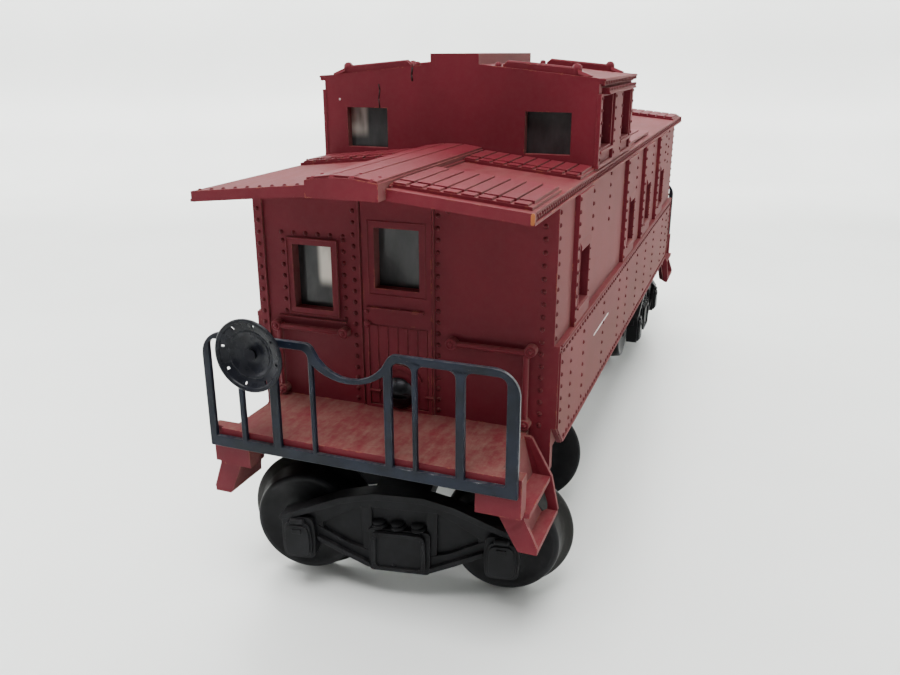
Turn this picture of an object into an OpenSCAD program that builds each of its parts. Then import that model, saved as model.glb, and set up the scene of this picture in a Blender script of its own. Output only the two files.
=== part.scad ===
// Model caboose: moulded body on a stamped steel frame, two swivelling four-wheel trucks.
// X runs along the car, Z is up, the table is z = 0 under the wheel flanges.
// Units are millimetres.

/* [Body] */
// half of the body length over the end walls
half_len = 73.2; // [71:0.1:75]
// half of the body width at the upper side wall
half_w = 26; // [25.4:0.1:26.4]
// height of the platform deck above the table
deck_z = 30; // [29.6:0.1:31]
// height of the eaves above the deck
eave_h = 36.1; // [35:0.1:37]
// rise of the roof from eave to ridge
roof_rise = 2.6; // [2:0.1:3]
// wall thickness of the moulding
wall_t = 1.6; // [1.3:0.1:1.8]
// half of the roof length
half_roof = 88.9; // [88:0.1:89.4]

/* [Platforms] */
// distance from the car centre to the outer edge of a platform
deck_end = 90; // [89.8:0.1:90.4]
// how far the steps hang below the deck
step_drop = 12.9; // [12.4:0.1:13]
// thickness of the stamped railing
rail_t = 0.8; // [0.6:0.1:1]
// height of the railing above the deck
rail_h = 16.7; // [16:0.1:17.5]

/* [Cupola] */
// front face of the cupola along the car
cup_x0 = -47.2; // [-48:0.1:-46.6]
// rear face of the cupola along the car
cup_x1 = -13.2; // [-13.8:0.1:-12.6]
// half of the cupola width
cup_w = 25.75; // [25.6:0.05:25.9]
// height of the cupola eaves above the deck
cup_h = 53; // [52.4:0.1:53.6]

/* [Trucks] */
// distance from the car centre to each kingpin
king_x = 61.2; // [60.8:0.1:61.4]
// angle the near truck is turned to
near_turn = 100; // [0:5:180]
// half of the truck wheelbase
half_base = 17; // [16.8:0.1:17]
// wheel radius over the flange
flange_r = 11; // [10.8:0.1:11]
// wheel tread radius next to the flange
tread_r = 9.3; // [9.2:0.1:9.4]
// axle radius
axle_r = 1.25; // [1.1:0.05:1.4]
// radial clearance of every running fit
run_fit = 0.05; // [0.02:0.01:0.08]

/* [Hidden] */
$fn = 48;
maroon = [0.40, 0.12, 0.14];
black = [0.09, 0.09, 0.10];
steel_blue = [0.12, 0.14, 0.17];
smoke = [0.16, 0.17, 0.18];
metal = [0.55, 0.56, 0.58];
slope = roof_rise / half_w;
pane_t = 0.8;
frame_top = deck_z - 2.2;
frame_bot = deck_z - 3;
axle_z = flange_r;
// inner face of the side frames, from the truck's centre line
side_in = 20.6;
// underside and upper surface of the roof at the eaves
eave_z = deck_z + eave_h;
roof_z = eave_z + wall_t;
// raised outside plates: how far they stand out, their lower edge, the belt and the panels above
plate_t = 0.8;
plate_bot = deck_z - 3.6;
belt_z0 = deck_z + 13.6;
belt_z1 = deck_z + 14.5;
panel_top = eave_z;
// side windows: first edges along the car, width, sill and head
side_win_x = [-60.9, -11.6, 14, 39.7];
side_win_w = 7.2;
// first edges of the raised panels around the last three of them
side_panel_x = [-15.5, 10.1, 35.8];
win_z0 = deck_z + 17.5;
win_z1 = deck_z + 26.7;
// end window and door window, as [side edge, side edge] and [sill, head]
end_win_y = [11.7, 18.9];
end_win_z = [deck_z + 16.2, deck_z + 27.1];
door_win_y = [-3.9, 3.9];
door_win_z = [deck_z + 21, deck_z + 30.9];
// cupola windows, and the eaves of the cupola
cup_win_y = [13.1, 21.3];
cup_win_z = [deck_z + 40.2, deck_z + 47.4];
cup_side_x = [-45, -25];
cup_side_w = 9.6;
cup_side_z = [deck_z + 41.3, deck_z + 50];
cup_top = deck_z + cup_h;
cup_pane_x0 = cup_x0 + wall_t + 0.05;
cup_pane_x1 = cup_x1 - wall_t - 0.05 - pane_t;
// roof walks: half width of the centre board, inner and outer edge of a cross walk, and its rise
board_y = 5.55;
walk_y = [5.4, 25.6];
walk_t = 0.5;
// centre of the brake wheel, and height of the body screws
bw_y = 14.9;
bw_z = deck_z + 14.9;
bw_x = deck_end + rail_t + 1.1;
screw_z = deck_z + 3.2;
// pivot of the coupler knuckle, from the far kingpin, and its radius
knuckle_x = 36;
knuckle_y = -2.2;
knuckle_r = 0.7;
// radii of the kingpin, of the brake wheel pin and of the rubbing faces at the kingpin
king_r = 2;
brake_r = 0.75;
rub_r = 5;
// railing: half width, lower edge and top of the bottom bar, from the deck
rail_w = 25.7;
rail_low = -2.9;
bar_top = -1.1;
arc_steps = 10;
// steps: outer face of the front plates, body side of the rear plates, underside of the upper block
step_front = 88.2;
step_rear = 75.2;
block_bot = deck_z - 6.4;
// room the turning truck needs around its kingpin, up to just over the wheels
swing_r = 30.4;
swing_top = 2 * flange_r + 0.4;
// how far the whole coupler sits below its drawn height
coupler_drop = 0.7;
// the origin lies midway between the brake pin and the coupler tip
near_tip = deck_end + 4.4;
far_tip = king_x + 42.2;
mid_shift = (near_tip - far_tip) / 2;

// every node is placed through this, so the whole car shares one origin
module car() {
  translate([mid_shift, 0, 0])
    children();
}

// box between two corners
module span(a, b) {
  translate(a)
    cube([b[0] - a[0], b[1] - a[1], b[2] - a[2]]);
}

// the same thing at both ends, the far one turned half a turn
module both_ends() {
  children();
  rotate([0, 0, 180])
    children();
}

// the same thing on both sides
module both_sides() {
  children();
  mirror([0, 1, 0])
    children();
}

// profile across the car, extruded along the car from x0 to x1
module along(x0, x1) {
  translate([x0, 0, 0])
    rotate([90, 0, 90])
      linear_extrude(x1 - x0)
        children();
}

// gabled slab: half width, height of its top at the eaves, thickness
module gable(w, z, t) {
  polygon([[-w, z - t], [0, z - t + w * slope], [w, z - t], [w, z], [0, z + w * slope], [-w, z]]);
}

// ---- body ----

module side_windows() {
  for (x = side_win_x)
    span([x, -40, win_z0], [x + side_win_w, 40, win_z1]);
}

// opening in the roof under the cupola
module cupola_well() {
  span([cup_x0 + wall_t, -half_w + 2.2, eave_z - 4], [cup_x1 - wall_t, half_w - 2.2, eave_z + 8]);
}

// hole for a body screw through an end wall
module screw_hole(x) {
  translate([x, 0, screw_z])
    rotate([0, 90, 0])
      cylinder(r = 1.3, h = 4);
}

module wall_ring() {
  difference() {
    along(-half_len, half_len)
      gabled_wall(half_w, frame_bot, eave_z + 0.8);
    along(-half_len + wall_t, half_len - wall_t)
      gabled_wall(half_w - wall_t, 0, eave_z);
    // slot the frame plate passes through
    span([-80, -19.3, 0], [80, 19.3, frame_top]);
    side_windows();
    cupola_well();
    both_ends() {
      span([-half_len - 1, end_win_y[0], end_win_z[0]], [-half_len + 3, end_win_y[1], end_win_z[1]]);
      span([-half_len - 1, door_win_y[0], door_win_z[0]], [-half_len + 3, door_win_y[1], door_win_z[1]]);
      screw_hole(-half_len - 1);
    }
  }
}

// lower plate of a side, in length and height, with its bottom corners cut off
module lower_plate_outline() {
  x = half_len;
  cut = 4.3;
  polygon([[-x + cut, plate_bot], [x - cut, plate_bot], [x, plate_bot + cut], [x, belt_z0],
      [-x, belt_z0], [-x, plate_bot + cut]]);
}

// raised plates on the outside of the side walls
module side_plates() {
  w = half_w;
  both_sides() {
    translate([0, -w, 0])
      rotate([90, 0, 0])
        linear_extrude(plate_t)
          lower_plate_outline();
    span([-half_len, -w - plate_t - 0.1, belt_z0], [half_len, -w, belt_z1]);
    difference() {
      union() {
        span([-62.8, -w - plate_t, belt_z1], [-51.4, -w, panel_top]);
        for (x = side_panel_x)
          span([x, -w - plate_t, belt_z1], [x + 14, -w, panel_top]);
      }
      side_windows();
    }
  }
}

// frame of given thickness around a window of an end wall
module window_surround(y, z, rim) {
  x = -half_len;
  difference() {
    span([x - 0.4, y[0] - rim, z[0] - rim], [x, y[1] + rim, z[1] + rim]);
    span([x - 1, y[0], z[0]], [x + 1, y[1], z[1]]);
  }
}

module door_leaf() {
  x = -half_len;
  half_door = 6;
  difference() {
    span([x - 0.4, -half_door, deck_z], [x, half_door, deck_z + 36]);
    span([x - 1, door_win_y[0], door_win_z[0]], [x + 1, door_win_y[1], door_win_z[1]]);
    // sunk lower panel
    span([x - 1, -half_door + 0.7, deck_z + 0.5], [x - 0.1, half_door - 0.7, deck_z + 15]);
    screw_hole(x - 2);
  }
  // ledge under the door window
  span([x - 0.9, -4.7, deck_z + 17.4], [x, 5.4, deck_z + 17.8]);
}

// flange of a grab iron on an end wall
module iron_foot(y, z) {
  translate([-half_len - 1.4, y, z])
    rotate([0, 90, 0])
      cylinder(r = 0.8, h = 1.6);
}

// L-shaped grab iron: a bar at height zb from the inner foot to the corner, and a leg down to the deck
module grab_iron(s, zb) {
  x = -half_len - 1;
  bar_r = 0.5;
  inner = 9.6;
  outer = 22.2;
  leg = 21.9;
  translate([x, s * inner, zb])
    rotate([-90 * s, 0, 0])
      cylinder(r = bar_r, h = outer - inner);
  iron_foot(s * inner, zb);
  iron_foot(s * outer, zb);
  translate([x, s * leg, deck_z + 0.6])
    cylinder(r = bar_r, h = zb - deck_z - 0.6);
  iron_foot(s * leg, deck_z + 1.2);
}

module end_trim() {
  // left corner strip
  span([-half_len - 0.3, 24.4, deck_z], [-half_len, half_w, deck_z + 36.5]);
  window_surround(end_win_y, end_win_z, 1);
  door_leaf();
  grab_iron(1, deck_z + 12.8);
  grab_iron(-1, deck_z + 13.3);
}

module roof() {
  bead = 0.45;
  difference() {
    along(-half_roof, half_roof)
      gable(half_w, roof_z, wall_t);
    cupola_well();
  }
  // eave bead on both sides
  both_sides()
    span([-half_roof, -half_w - bead, eave_z], [half_roof, -half_w + 0.4, eave_z + 0.4]);
  // centre running board with its end blocks
  for (x = [[-half_roof - 2.4, cup_x0], [cup_x1, half_roof + 2.4]])
    along(x[0], x[1])
      polygon([[-board_y, roof_z + 0.6], [board_y, roof_z + 0.6], [board_y, roof_z + 3],
          [2, roof_z + 3.5], [-2, roof_z + 3.5], [-board_y, roof_z + 3]]);
  // cross walks beside the cupola and at the roof ends
  for (x = [[-58, cup_x0], [cup_x1, -2.4]])
    both_sides()
      cross_walk(x[0], x[1]);
  cross_walk(-87.2, -71);
  cross_walk(71, 87.2);
}

// strip of boards lying on the -Y slope of the roof
module cross_walk(x0, x1) {
  z = roof_z + (walk_y[1] - walk_y[0] + 0.2) * slope;
  along(x0, x1)
    polygon([[-walk_y[1], roof_z], [-walk_y[0], z], [-walk_y[0], z + walk_t],
        [-walk_y[1], roof_z + walk_t]]);
}

// profile of a grab bar on the cupola roof, out to the side and up
module roof_bar_outline() {
  z = cup_top + 13.4 * slope;
  polygon([[-22, cup_top - 0.2], [-8.6, z - 0.2], [-8.6, z + 0.6], [-9.4, cup_top + 2.6],
      [-21.2, cup_top + 1.5], [-22, cup_top + 0.8]]);
}

// cross section with a gabled top: half width, bottom, height of the top at the sides
module gabled_wall(w, z0, z1) {
  polygon([[-w, z0], [w, z0], [w, z1], [0, z1 + w * slope], [-w, z1]]);
}

module cupola() {
  z = eave_z + 0.6;
  difference() {
    along(cup_x0, cup_x1)
      gabled_wall(cup_w, z, cup_top);
    along(cup_x0 + wall_t, cup_x1 - wall_t)
      gabled_wall(cup_w - 1.75, z - 1, cup_top - wall_t);
    both_sides()
      span([cup_x0 - 1, -cup_win_y[1], cup_win_z[0]], [cup_x1 + 1, -cup_win_y[0], cup_win_z[1]]);
    for (x = cup_side_x)
      span([x, -40, cup_side_z[0]], [x + cup_side_w, 40, cup_side_z[1]]);
  }
  // double eave moulding and the pilaster between the side windows
  both_sides() {
    span([cup_x0, -cup_w - 0.9, cup_top - 0.9], [cup_x1, -cup_w, cup_top]);
    span([cup_x0 + 2.6, -cup_w - 1.3, cup_top - 2.6], [cup_x1 - 2.6, -cup_w, cup_top - 1.6]);
    span([-34.2, -cup_w - 0.6, deck_z + 38.2], [-26.2, -cup_w, cup_top - 2.6]);
  }
  // running board block on the cupola roof
  span([cup_x0, -4.5, cup_top + 1.8], [cup_x1, 4.5, cup_top + 3.9]);
  // four grab bars moulded on the cupola roof
  for (x = [cup_x0 + 0.8, cup_x1 - 2.4])
    both_sides()
      along(x, x + 1.6)
        roof_bar_outline();
}

// profile of the front plate of the steps, out to the side and up; foot is the outer edge of its foot
module step_profile(foot) {
  z = deck_z;
  low = z - step_drop;
  polygon([[19.1, z], [26.1, z], [26.1, z - 7.4], [foot, low + 0.9], [foot - 0.3, low],
      [foot - 3, low], [foot - 3.4, low + 0.6], [22.4, z - 7.8], [22.2, block_bot], [19.1, block_bot]]);
}

// profile of the rear plate, whose edge slopes from the deck to the foot
module step_rear_profile(foot) {
  z = deck_z;
  low = z - step_drop;
  polygon([[19.1, z], [23.4, z], [foot, low + 0.9], [foot - 0.3, low], [foot - 3, low],
      [foot - 3.4, low + 0.6], [22.4, z - 7.8], [22.2, block_bot], [19.1, block_bot]]);
}

// profile of the sloped back of a step box with its lowest tread
module step_back_profile(foot) {
  z = deck_z;
  low = z - step_drop;
  polygon([[21.6, z], [22.4, z], [24, z - 6.2], [26, low + 0.8], [foot - 0.1, low + 0.8],
      [foot - 0.1, low], [foot - 3, low], [23.2, z - 7], [21.6, z - 2]]);
}

// step box on the +Y side of the near platform; notch narrows the raised block at its corner
module step_box(foot, notch) {
  front = -step_front;
  rear = -step_rear;
  side_t = 0.7;
  difference() {
    union() {
      along(front, front + side_t)
        step_profile(foot);
      along(rear - side_t, rear)
        step_rear_profile(foot);
      along(front, rear)
        step_back_profile(foot);
      // upper tread
      span([front, 23.4, deck_z - 7], [rear, 26.9, deck_z - 6.2]);
    }
    // room for the wheels of the turning truck
    translate([-king_x, 0, 0])
      cylinder(r = swing_r, h = swing_top, $fn = 96);
  }
  // block at the corner of the platform, and the corner of the end wall below the deck
  difference() {
    span([-deck_end, 19.1, block_bot], [front + side_t, 26.1, deck_z]);
    span([-deck_end - 1, 24, block_bot - 1], [-deck_end + notch, 27, deck_z + 1]);
  }
  span([-half_len, 22.8, deck_z - 6.8], [-half_len + wall_t, half_w, deck_z]);
}

module platform() {
  // deck and full width end strip
  span([-deck_end, -22.4, frame_top], [-half_len + 0.4, 22.4, deck_z]);
  span([-deck_end, -24, frame_top], [-87.7, 24, deck_z]);
  span([-deck_end + 0.7, -26.1, frame_top], [-87.7, 26.1, deck_z]);
  step_box(27.7, 0.7);
  mirror([0, 1, 0])
    step_box(28.3, 0);
}

module body_shell() {
  color(maroon) {
    wall_ring();
    side_plates();
    roof();
    cupola();
    both_ends() {
      platform();
      end_trim();
    }
  }
}

// ---- frame, railings, screws ----

module frame_plate() {
  color(steel_blue)
    difference() {
      union() {
        span([-deck_end, -19, frame_bot], [deck_end, 19, frame_top]);
        // upright tabs the body screws go into
        both_ends()
          span([-half_len + wall_t + 0.02, -6, frame_bot], [-half_len + wall_t + 1.2, 6, deck_z + 7]);
        // pivot bosses
        for (x = [-king_x, king_x])
          translate([x, 0, frame_bot - 1])
            cylinder(r = rub_r, h = 1.1);
      }
      for (x = [-king_x, king_x])
        translate([x, 0, frame_bot - 2])
          cylinder(r = king_r, h = 5);
      both_ends()
        translate([-half_len, 0, screw_z])
          rotate([0, 90, 0])
            cylinder(r = 1.2, h = 4);
      // two stamped lightening slots
      for (x = [-32, 32])
        span([x - 8, -7, frame_bot - 1], [x + 8, 7, frame_top + 1]);
    }
}

// points of an arc about (y, z) from angle a0 to a1, without its ends
function arc(y, z, r, a0, a1) =
  [for (i = [1:arc_steps - 1]) let (a = a0 + (a1 - a0) * i / arc_steps) [y + r * cos(a), z + r * sin(a)]];

// railing outline, y to the right and z up: rounded corners, and a round dip with rounded shoulders
module rail_blank() {
  w = rail_w;
  h = rail_h;
  corner = 4;
  dip = 6.5;
  dip_depth = 4.75;
  shoulder = 1.6;
  mid = 0.15;
  z = h - dip_depth + dip;
  drop = z - (h - shoulder);
  reach = sqrt(pow(dip + shoulder, 2) - pow(drop, 2));
  a = atan2(drop, reach);
  polygon(concat(
      [[-w, rail_low], [w, rail_low]],
      arc(w - corner, h - corner, corner, -8, 98),
      arc(mid + reach, h - shoulder, shoulder, 80, 180 - a),
      arc(mid, z, dip, 360 - a, 180 + a),
      arc(mid - reach, h - shoulder, shoulder, a, 100),
      arc(corner - w, h - corner, corner, 82, 188)));
}

// opening between two posts, with rounded upper corners
module rail_gap(y0, y1, z1) {
  r = 1.2;
  polygon(concat(
      [[y0, bar_top], [y1, bar_top]],
      arc(y1 - r, z1 - r, r, -8, 98),
      arc(y0 + r, z1 - r, r, 82, 188)));
}

// the wide opening under the dip, closed above by a flat arc
module middle_gap() {
  y0 = -5.2;
  y1 = 6.3;
  polygon(concat(
      [[y0, bar_top], [y1, bar_top], [y1, 13.3]],
      arc(0.45, 20.25, 9.1, 310, 232),
      [[y0, 13.1]]));
}

module end_rail() {
  // gaps between the posts, besides the one in the middle
  post_gaps = [[19.65, 24.4], [14, 18.75], [7, 12.5], [-9.65, -6.5], [-16.3, -10.4], [-23.8, -17.7]];
  color(steel_blue)
    translate([-deck_end - rail_t, 0, deck_z])
      rotate([90, 0, 90])
        linear_extrude(rail_t)
          difference() {
            union() {
              difference() {
                rail_blank();
                middle_gap();
                for (y = post_gaps)
                  rail_gap(y[0], y[1], rail_h - 1.25);
              }
              // ear that carries the brake wheel pin
              translate([bw_y, bw_z - deck_z])
                circle(r = 1.7);
            }
            translate([bw_y, bw_z - deck_z])
              circle(r = brake_r + 0.02);
          }
}

// half section of the dished brake wheel: radius, and distance from the hub's back
module brake_wheel_section() {
  polygon([[0, 0], [1.5, 0], [1.6, 0.35], [4.7, 1.45], [5.3, 1.2], [5.75, 1.6], [5.75, 2.2], [5.3, 2.5],
      [4.8, 2.2], [1.7, 0.95], [1.2, 1.1], [0, 1.1]]);
}

module brake_wheel() {
  color(black)
    translate([-bw_x, bw_y, bw_z])
      rotate([0, -90, 0])
        difference() {
          rotate_extrude()
            brake_wheel_section();
          translate([0, 0, -1])
            cylinder(r = brake_r + run_fit, h = 4);
          // small openings just inside the rim
          for (a = [12:45:327])
            rotate([0, 0, a])
              translate([4.2, 0, -1])
                cylinder(r = 0.42, h = 4);
        }
}

module brake_pin() {
  color(metal)
    translate([-deck_end - 0.05, bw_y, bw_z])
      rotate([0, -90, 0])
        union() {
          cylinder(r = brake_r, h = 3.4);
          translate([0, 0, rail_t + 0.05])
            cylinder(r = 1.2, h = 0.7);
          translate([0, 0, 3.3])
            cylinder(r = 0.95, h = 0.4);
        }
}

module body_screws() {
  color(metal)
    both_ends()
      translate([-half_len - 0.6, 0, screw_z])
        rotate([0, -90, 0])
          difference() {
            union() {
              translate([0, 0, -3.6])
                cylinder(r = 1.2, h = 3.7);
              intersection() {
                translate([0, 0, -1.8])
                  sphere(r = 3.35);
                cylinder(r = 2.8, h = 2);
              }
            }
            translate([-0.35, -4, 0.75])
              cube([0.7, 8, 2]);
          }
}

// one insert behind both windows of an end wall
module glazing_end() {
  x = -half_len + wall_t + 0.05;
  color(smoke)
    span([x, -20, deck_z + 14], [x + pane_t, 20, deck_z + 33]);
}

module glazing_cupola(x) {
  color(smoke)
    span([x, -23.2, deck_z + 40], [x + pane_t, 23.2, deck_z + 50.6]);
}

// ---- trucks, drawn at the axle height with the kingpin at the origin ----

module place(x, turn) {
  translate([x, 0, axle_z])
    rotate([0, 0, turn])
      children();
}

module bolster() {
  difference() {
    union() {
      span([-4.6, -side_in, 5.6], [4.6, side_in, 8.2]);
      translate([0, 0, 8])
        cylinder(r = rub_r - 0.2, h = frame_bot - 1.3 - axle_z - 8);
      for (s = [-1, 1])
        span([-4.6, s > 0 ? 19 : -side_in, -2], [4.6, s > 0 ? side_in : -19, 6]);
    }
    cylinder(r = king_r + run_fit, h = 30);
  }
}

module kingpin(x) {
  color(metal)
    translate([x, 0, 0])
      union() {
        translate([0, 0, axle_z + 5])
          cylinder(r = king_r, h = frame_top - axle_z - 4.6);
        translate([0, 0, axle_z + 4.1])
          cylinder(r = 3.5, h = 1.2);
        translate([0, 0, frame_top])
          cylinder(r = 3, h = 0.8);
      }
}

// outline of the cast side frame, length to the right and height up
module side_outline() {
  polygon([[-20.4, -4.2], [-15.2, -4.2], [-14.6, -0.8], [-9, -3.4], [-5.3, -5.5], [5.3, -5.5],
      [9, -3.4], [14.6, -0.8], [15.2, -4.2], [20.4, -4.2], [20.6, 3.4], [17.4, 4.6], [9.4, 8],
      [4.2, 9.3], [-4.2, 9.3], [-9.4, 8], [-17.4, 4.6], [-20.6, 3.4]]);
}

module side_frame() {
  y = side_in + 0.02;
  b = half_base;
  difference() {
    union() {
      translate([0, y + 2.2, 0])
        rotate([90, 0, 0])
          linear_extrude(2.2)
            side_outline();
      // raised top chord
      translate([0, y + 2.9, 0])
        rotate([90, 0, 0])
          linear_extrude(1)
            difference() {
              side_outline();
              translate([0, -2])
                side_outline();
              translate([-14, -8])
                square([28, 8]);
            }
      // journal boxes with lids
      for (s = [-1, 1]) {
        span([s * b - 2.6, y + 2, -4.2], [s * b + 2.6, y + 3.6, 3.3]);
        span([s * b - 2, y + 3.5, -3.6], [s * b + 2, y + 4.1, 2.7]);
      }
      // bolster end box with the spring heads above it
      span([-5, y + 2, -5.5], [5, y + 3.2, 2.6]);
      for (s = [-1, 0, 1])
        translate([s * 3.6, y + 2.1, 3.9])
          rotate([-90, 0, 0])
            cylinder(r = 1.3, h = 1);
    }
    for (s = [-1, 1])
      translate([s * b, y - 1, 0])
        rotate([-90, 0, 0])
          cylinder(r = axle_r + run_fit, h = 3.6);
    // triangular windows through the web
    for (s = [-1, 1])
      translate([0, y + 3, 0])
        rotate([90, 0, 0])
          linear_extrude(4)
            polygon([[s * 6.6, -1.8], [s * 12.2, 1.2], [s * 6.6, 4.2]]);
  }
}

// s is 1 for the leading axle and -1 for the trailing one
module axle(s) {
  half_axle = 22.9;
  color(metal)
    translate([s * half_base, -half_axle, 0])
      rotate([-90, 0, 0])
        cylinder(r = axle_r, h = 2 * half_axle);
}

// half section of a wheel: radius, and distance along the axle from the truck's centre line
module wheel_section() {
  f = flange_r;
  t = tread_r;
  polygon([[axle_r, 13.4], [3.6, 13.4], [3.8, 14.4], [7, 14.6], [8.2, 13.9], [f - 0.5, 13.9],
      [f, 14.3], [f, 14.7], [f - 0.6, 15.1], [t, 15.5], [t - 0.65, 19.2], [t - 0.9, 19.4],
      [7.6, 19.4], [7.2, 18.2], [4.2, 17.4], [3.4, 17.8], [3.2, 19.9], [axle_r, 19.9]]);
}

// wheel of the axle s on one side of the truck, with its flange towards the truck's centre
module wheel(s, side) {
  translate([s * half_base, 0, 0])
    rotate([-90 * side, 0, 0])
      rotate_extrude($fn = 72)
        wheel_section();
}

// ---- coupler on the far truck, drawn in the truck's own frame ----

module coupler_head() {
  translate([0, 0, -coupler_drop])
    difference() {
      union() {
        span([4.6, -3, 5.7], [8, 3, 8.1]);
        along_truck([[4.6, 5.7], [8, 5.7], [8, 3.4], [34, 3.4], [34, 4.9], [8.6, 4.9], [8.6, 8.1],
            [4.6, 8.1]], 2.4);
        // head with its guard arm
        linear_at(-1, 6)
          polygon([[32.5, -3.8], [36, -3.8], [37.2, -3.2], [37.5, -2.2], [37.2, -1.2], [36.6, 0.4],
              [40.6, 5.2], [39, 6.6], [34, 3.6], [32.5, 2.4]]);
      }
      // room for the knuckle tang, open towards the front
      span([34.1, -6, 0.95], [40, 0.2, 4.05]);
      translate([knuckle_x, knuckle_y, -3])
        cylinder(r = knuckle_r, h = 12);
    }
}

// profile in the truck's length and height, extruded to a half width
module along_truck(pts, w) {
  translate([0, w, 0])
    rotate([90, 0, 0])
      linear_extrude(2 * w)
        polygon(pts);
}

// plan outline extruded between two heights
module linear_at(z0, z1) {
  translate([0, 0, z0])
    linear_extrude(z1 - z0)
      children();
}

module coupler_knuckle() {
  translate([0, 0, -coupler_drop])
    difference() {
      union() {
        linear_at(1.25, 3.75)
          polygon([[35, -3.2], [38.4, -3.8], [38.4, -0.9], [36, -0.8], [34.8, -1.4]]);
        linear_at(-0.8, 5.8)
          polygon([[38.1, -4], [41, -3.7], [42.2, -1.8], [42.2, 1.3], [40.9, 1.5], [40.3, -0.6],
              [38.9, -1.4], [38.1, -1.6]]);
      }
      translate([knuckle_x, knuckle_y, -3])
        cylinder(r = knuckle_r + run_fit, h = 12);
    }
}

module coupler_pin() {
  translate([knuckle_x, knuckle_y, -1.05 - coupler_drop])
    union() {
      cylinder(r = knuckle_r, h = 7.1);
      translate([0, 0, 7.05])
        cylinder(r = 1.1, h = 0.4);
      translate([0, 0, -0.35])
        cylinder(r = 1.1, h = 0.4);
    }
}

// ---- nodes ----

// the far one of a pair, turned half a turn about the car's centre
module far_end() {
  rotate([0, 0, 180])
    children();
}

module near_truck() {
  car()
    color(black)
      place(-king_x, near_turn)
        children();
}

module far_truck() {
  car()
    color(black)
      place(king_x, 0)
        children();
}

car() body_shell();
car() frame_plate();
car() end_rail();  // rail_near
car() far_end() end_rail();  // rail_far
car() brake_wheel();  // brake_wheel_near
car() far_end() brake_wheel();  // brake_wheel_far
car() brake_pin();  // brake_pin_near
car() far_end() brake_pin();  // brake_pin_far
car() body_screws();
car() glazing_end();  // glazing_end_near
car() far_end() glazing_end();  // glazing_end_far
car() glazing_cupola(cup_pane_x0);  // glazing_cupola_near
car() glazing_cupola(cup_pane_x1);  // glazing_cupola_far
car() kingpin(-king_x);  // kingpin_near
car() kingpin(king_x);  // kingpin_far
near_truck() bolster();  // near_bolster
near_truck() side_frame();  // near_side_a
near_truck() far_end() side_frame();  // near_side_b
near_truck() axle(1);  // near_axle_1
near_truck() axle(-1);  // near_axle_2
near_truck() wheel(1, 1);  // near_wheel_1a
near_truck() wheel(1, -1);  // near_wheel_1b
near_truck() wheel(-1, 1);  // near_wheel_2a
near_truck() wheel(-1, -1);  // near_wheel_2b
far_truck() bolster();  // far_bolster
far_truck() side_frame();  // far_side_a
far_truck() far_end() side_frame();  // far_side_b
far_truck() axle(1);  // far_axle_1
far_truck() axle(-1);  // far_axle_2
far_truck() wheel(1, 1);  // far_wheel_1a
far_truck() wheel(1, -1);  // far_wheel_1b
far_truck() wheel(-1, 1);  // far_wheel_2a
far_truck() wheel(-1, -1);  // far_wheel_2b
far_truck() coupler_head();
far_truck() coupler_knuckle();
far_truck() coupler_pin();
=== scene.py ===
"""Looks of the model caboose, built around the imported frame.

Detail is laid out in the car's own millimetres: x along the car from its centre, y across it,
z above the platform deck. place() turns those into the frame's metres.
"""

import math
import random

import bmesh
import bpy
from mathutils import Matrix, Vector


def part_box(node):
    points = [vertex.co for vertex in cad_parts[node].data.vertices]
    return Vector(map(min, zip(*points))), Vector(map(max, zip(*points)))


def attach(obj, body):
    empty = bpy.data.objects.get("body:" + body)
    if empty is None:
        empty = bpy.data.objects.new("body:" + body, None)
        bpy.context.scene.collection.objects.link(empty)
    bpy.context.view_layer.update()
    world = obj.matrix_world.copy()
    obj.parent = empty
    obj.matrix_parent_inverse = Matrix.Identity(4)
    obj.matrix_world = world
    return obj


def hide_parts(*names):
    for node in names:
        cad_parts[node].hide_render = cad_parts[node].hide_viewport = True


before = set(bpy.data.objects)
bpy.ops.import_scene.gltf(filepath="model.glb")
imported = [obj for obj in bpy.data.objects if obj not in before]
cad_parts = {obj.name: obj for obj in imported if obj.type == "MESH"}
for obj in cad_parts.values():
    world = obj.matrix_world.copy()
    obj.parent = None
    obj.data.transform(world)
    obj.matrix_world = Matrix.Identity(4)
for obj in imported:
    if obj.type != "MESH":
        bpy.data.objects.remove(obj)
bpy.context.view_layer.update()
MM = 0.001


# ---- the frame's own measures, in millimetres ----


def middle(node):
    low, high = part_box(node)
    return (low + high) / 2 / MM


def extent(node):
    low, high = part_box(node)
    return low / MM, high / MM


PIN_NEAR = middle("kingpin_near")
PIN_FAR = middle("kingpin_far")
CAR_X = (PIN_NEAR.x + PIN_FAR.x) / 2
KING = (PIN_FAR.x - PIN_NEAR.x) / 2  # from the car's middle to each kingpin
AXLE_Z = middle("far_axle_1").z
HALF_BASE = (middle("far_axle_1").x - middle("far_axle_2").x) / 2  # from a kingpin to each axle
RAIL_FOOT = 2.9  # how far the railings reach below the deck
DECK = extent("rail_near")[0].z + RAIL_FOOT
WHEEL_R = extent("far_wheel_1a")[1].z - AXLE_Z
NEAR_AXIS = middle("near_axle_1") - middle("near_axle_2")
NEAR_TURN = math.atan2(NEAR_AXIS.y, NEAR_AXIS.x)

# ---- the body's measures as the CAD has them; heights are above the deck ----

HALF_LEN = 73.2  # out to the end walls
SIDE = 26.0  # out to the side walls
PLATE = 26.8  # out to the raised plates of the side walls
ROOF_TOP = 37.7  # height of the roof's upper surface at the eaves
RISE = 2.6  # from there up to the middle of the roof
HALF_ROOF = 88.9  # half the roof's length
CUP_X = (-47.2, -13.2)  # end walls of the cupola
CUP_SIDE = 25.75
CUP_EAVE = 53.0
SCREW_Z = 3.3  # height of the body screws
SIDE_WINDOWS = (-60.9, -11.6, 14.0, 39.7)  # where each side window starts
WINDOW_WIDE = 7.2

# ---- rivets ----

RIVET = 0.41
RIVET_HIGH = 0.3
PITCH = 1.95

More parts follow.
